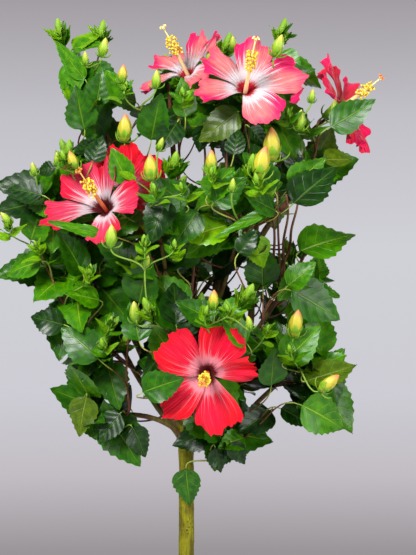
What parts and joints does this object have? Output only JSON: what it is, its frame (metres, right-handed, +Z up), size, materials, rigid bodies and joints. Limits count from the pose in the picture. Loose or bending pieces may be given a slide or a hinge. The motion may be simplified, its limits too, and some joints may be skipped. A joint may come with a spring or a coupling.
{
  "type": "potted hibiscus standard",
  "caption": "Hibiscus shrub grown as a small tree: one clear stem, a leafy rounded crown with large red and coral blooms, in a plain clay pot.",
  "frame": {"origin": "centre of the pot's flat underside", "axes": "+Z up along the stem, -Y the plant's front, +X its right as seen from the front"},
  "size_m": [0.541, 0.428, 1.207],
  "materials": {
    "clay": "matt fired clay",
    "soil": "damp potting mix",
    "stem_bark": "smooth green bark with brown specks",
    "bough_bark": "brown bark with fine ridges",
    "foliage": "glossy green leaves",
    "blossom": "soft petals with a satin sheen"
  },
  "bodies": {
    "root": {"pot": "clay", "soil": "soil", "stem": "stem_bark", "bough_left_bottom": "bough_bark", "bough_left": "bough_bark", "bough_right_lower": "bough_bark", "bough_skirt": "bough_bark", "bough_right_shoulder": "bough_bark", "bough_top_right": "bough_bark", "bough_top_middle": "bough_bark", "bough_front_low": "bough_bark", "bough_back_low": "bough_bark", "bough_back": "bough_bark", "bough_back_left": "bough_bark", "bough_back_right": "bough_bark", "bough_left_lower": "bough_bark", "bough_left_shoulder": "bough_bark", "bough_top_left": "bough_bark", "bough_front_left": "bough_bark", "bough_front_right": "bough_bark", "bough_right": "bough_bark", "bough_right_tip": "bough_bark", "bough_back_top": "bough_bark", "bough_back_left_shoulder": "bough_bark", "bough_back_right_shoulder": "bough_bark", "foliage_top_left": "foliage", "foliage_top_middle": "foliage", "foliage_top_right": "foliage", "foliage_right_tip": "foliage", "foliage_right_shoulder": "foliage", "foliage_left_shoulder": "foliage", "foliage_left": "foliage", "foliage_left_lower": "foliage", "foliage_left_bottom": "foliage", "foliage_front_left": "foliage", "foliage_front_right": "foliage", "foliage_front_low": "foliage", "foliage_right": "foliage", "foliage_right_lower": "foliage", "foliage_skirt": "foliage", "foliage_back_top": "foliage", "foliage_back_left_shoulder": "foliage", "foliage_back_right_shoulder": "foliage", "foliage_back": "foliage", "foliage_back_left": "foliage", "foliage_back_right": "foliage", "foliage_back_low": "foliage"}
  },
  "joints": []
}
